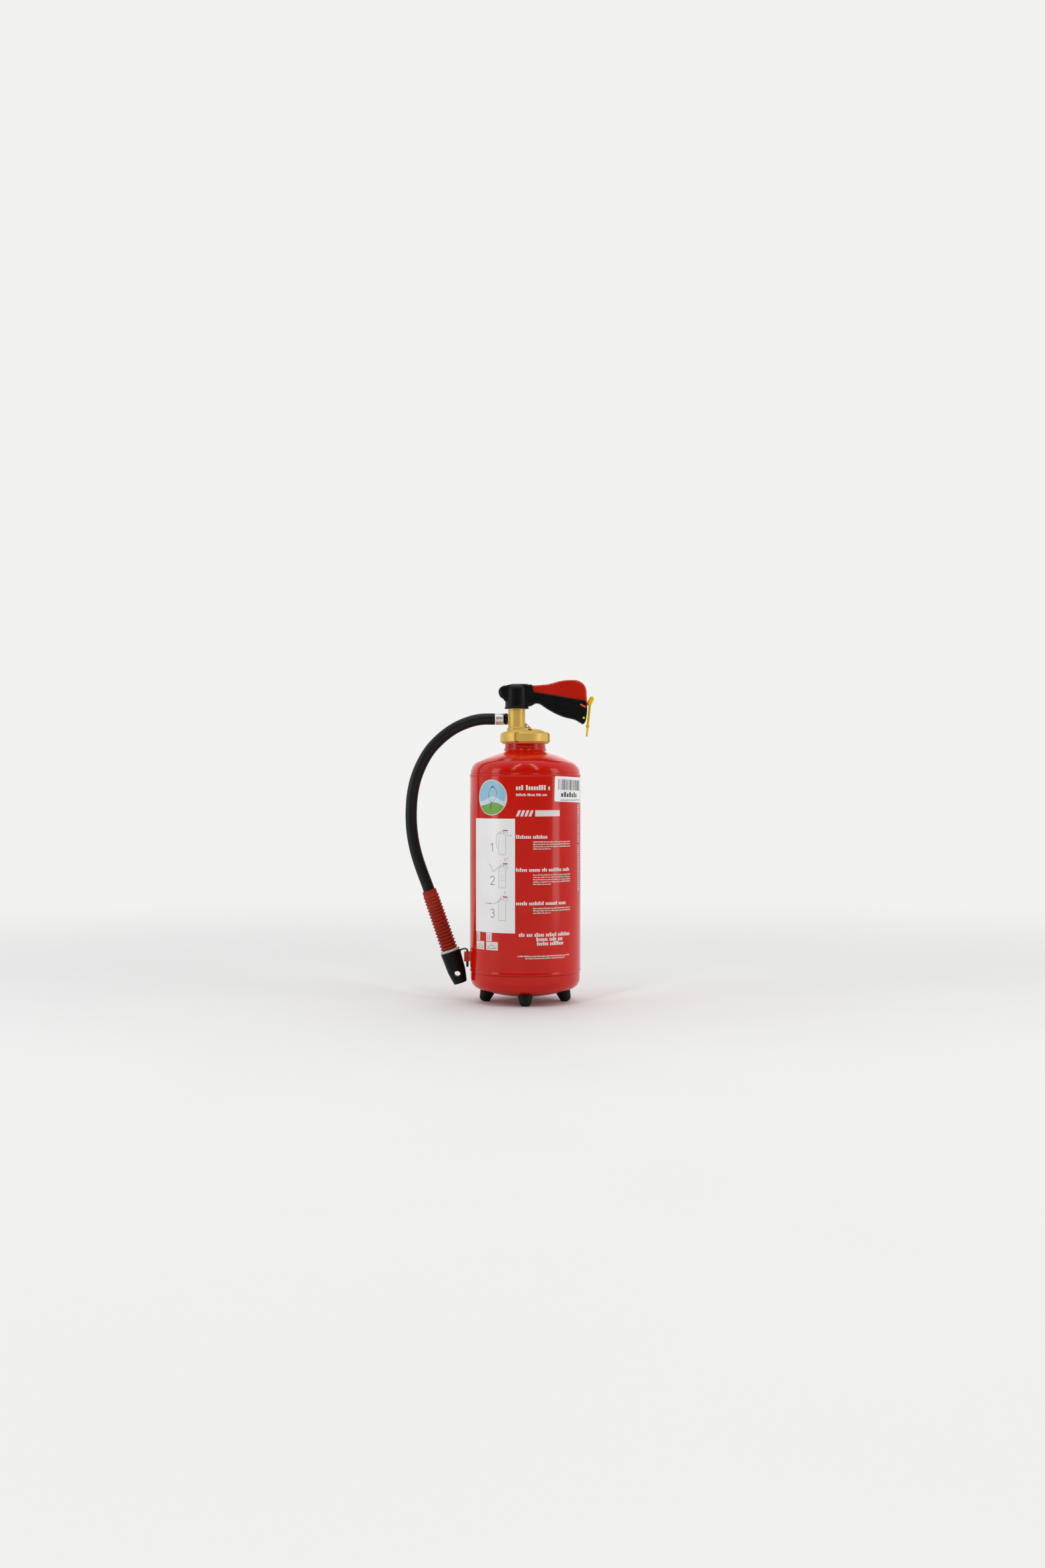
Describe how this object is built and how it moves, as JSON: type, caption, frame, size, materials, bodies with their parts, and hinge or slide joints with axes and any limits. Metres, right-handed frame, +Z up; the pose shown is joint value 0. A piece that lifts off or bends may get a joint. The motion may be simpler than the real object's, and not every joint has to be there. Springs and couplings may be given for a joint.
{
  "type": "fire extinguisher",
  "caption": "Upright cylindrical fire extinguisher on short rubber feet, with a squeeze lever over a carrying handle, a pull-out safety clip and a side hose with a clipped nozzle.",
  "frame": {"origin": "middle of the footprint of the part without its hose and nozzle, at the height of the feet's flat tips", "axes": "+Z up along the container; +X from the hose side towards the handle; the printed front faces -Y"},
  "size_m": [0.325, 0.191, 0.5526],
  "materials": {
    "red_paint": "gloss paint",
    "black_rubber": "moulded rubber",
    "hose_rubber": "smooth extruded rubber",
    "brass": "satin, cast and turned",
    "black_plastic": "fine grained moulding",
    "aluminium": "rolled and brushed",
    "steel": "zinc plated",
    "red_plastic": "glossy moulding",
    "yellow_plastic": "moulded",
    "orange_plastic": "moulded",
    "grip_rubber": "ribbed, matt",
    "white_plastic": "moulded",
    "label_film": "printed film"
  },
  "bodies": {
    "extinguisher": {"container_jacket": "red_paint", "top_dome": "red_paint", "bottom_dome": "red_paint", "neck_collar": "red_paint", "nozzle_holder": "red_paint", "foot_stud_right": "red_paint", "foot_stud_back": "red_paint", "foot_stud_left": "red_paint", "foot_stud_front": "red_paint", "neck_gasket": "black_rubber", "outlet_seal": "black_rubber", "rod_seal": "black_rubber", "foot_cap_right": "black_rubber", "foot_cap_back": "black_rubber", "foot_cap_left": "black_rubber", "foot_cap_front": "black_rubber", "hose": "hose_rubber", "union_nut": "brass", "valve_body": "brass", "relief_valve": "brass", "cartridge_seal": "brass", "outlet_nipple": "black_plastic", "head_cover": "black_plastic", "handle_shell": "black_plastic", "dip_strainer": "black_plastic", "hose_ferrule": "aluminium", "handle_bracket": "steel", "handle_screw": "steel", "pivot_pin": "steel", "rod_spring": "steel", "gas_cartridge": "steel", "seal_rivet": "yellow_plastic", "indicator_front": "orange_plastic", "indicator_back": "orange_plastic", "dip_tube": "white_plastic", "gas_tube": "white_plastic", "instruction_label": "label_film", "round_sticker": "label_film", "inventory_sticker": "label_film"},
    "lever": {"lever_shell": "red_plastic", "lever_arm": "steel"},
    "push_rod": {"push_rod": "steel"},
    "safety": {"safety_clip": "yellow_plastic"},
    "nozzle": {"nozzle": "black_plastic", "nozzle_jet": "brass", "grip_ring": "white_plastic", "grip": "grip_rubber"}
  },
  "joints": [
    {"name": "lever_hinge", "type": "hinge", "parent": "extinguisher", "child": "lever", "pos_m": [-0.04381, 0, 0.53], "axis": [0, 1, 0], "range_deg": [0, 6], "stiffness_Nm_per_rad": 1, "springref_deg": -14.32},
    {"name": "rod_slide", "type": "slide", "parent": "extinguisher", "child": "push_rod", "axis": [0, 0, -1], "range_m": [0, 0.0026], "deforming": ["rod_spring"]},
    {"name": "safety_pull", "type": "slide", "parent": "extinguisher", "child": "safety", "axis": [1, 0, 0], "range_m": [0, 0.035]},
    {"name": "nozzle_lift", "type": "slide", "parent": "extinguisher", "child": "nozzle", "axis": [0, 0, 1], "range_m": [0, 0.006], "deforming": ["hose"]}
  ],
  "couplings": [
    {"joint": "rod_slide", "follows": "lever_hinge", "m_per_rad": 0.0223}
  ]
}
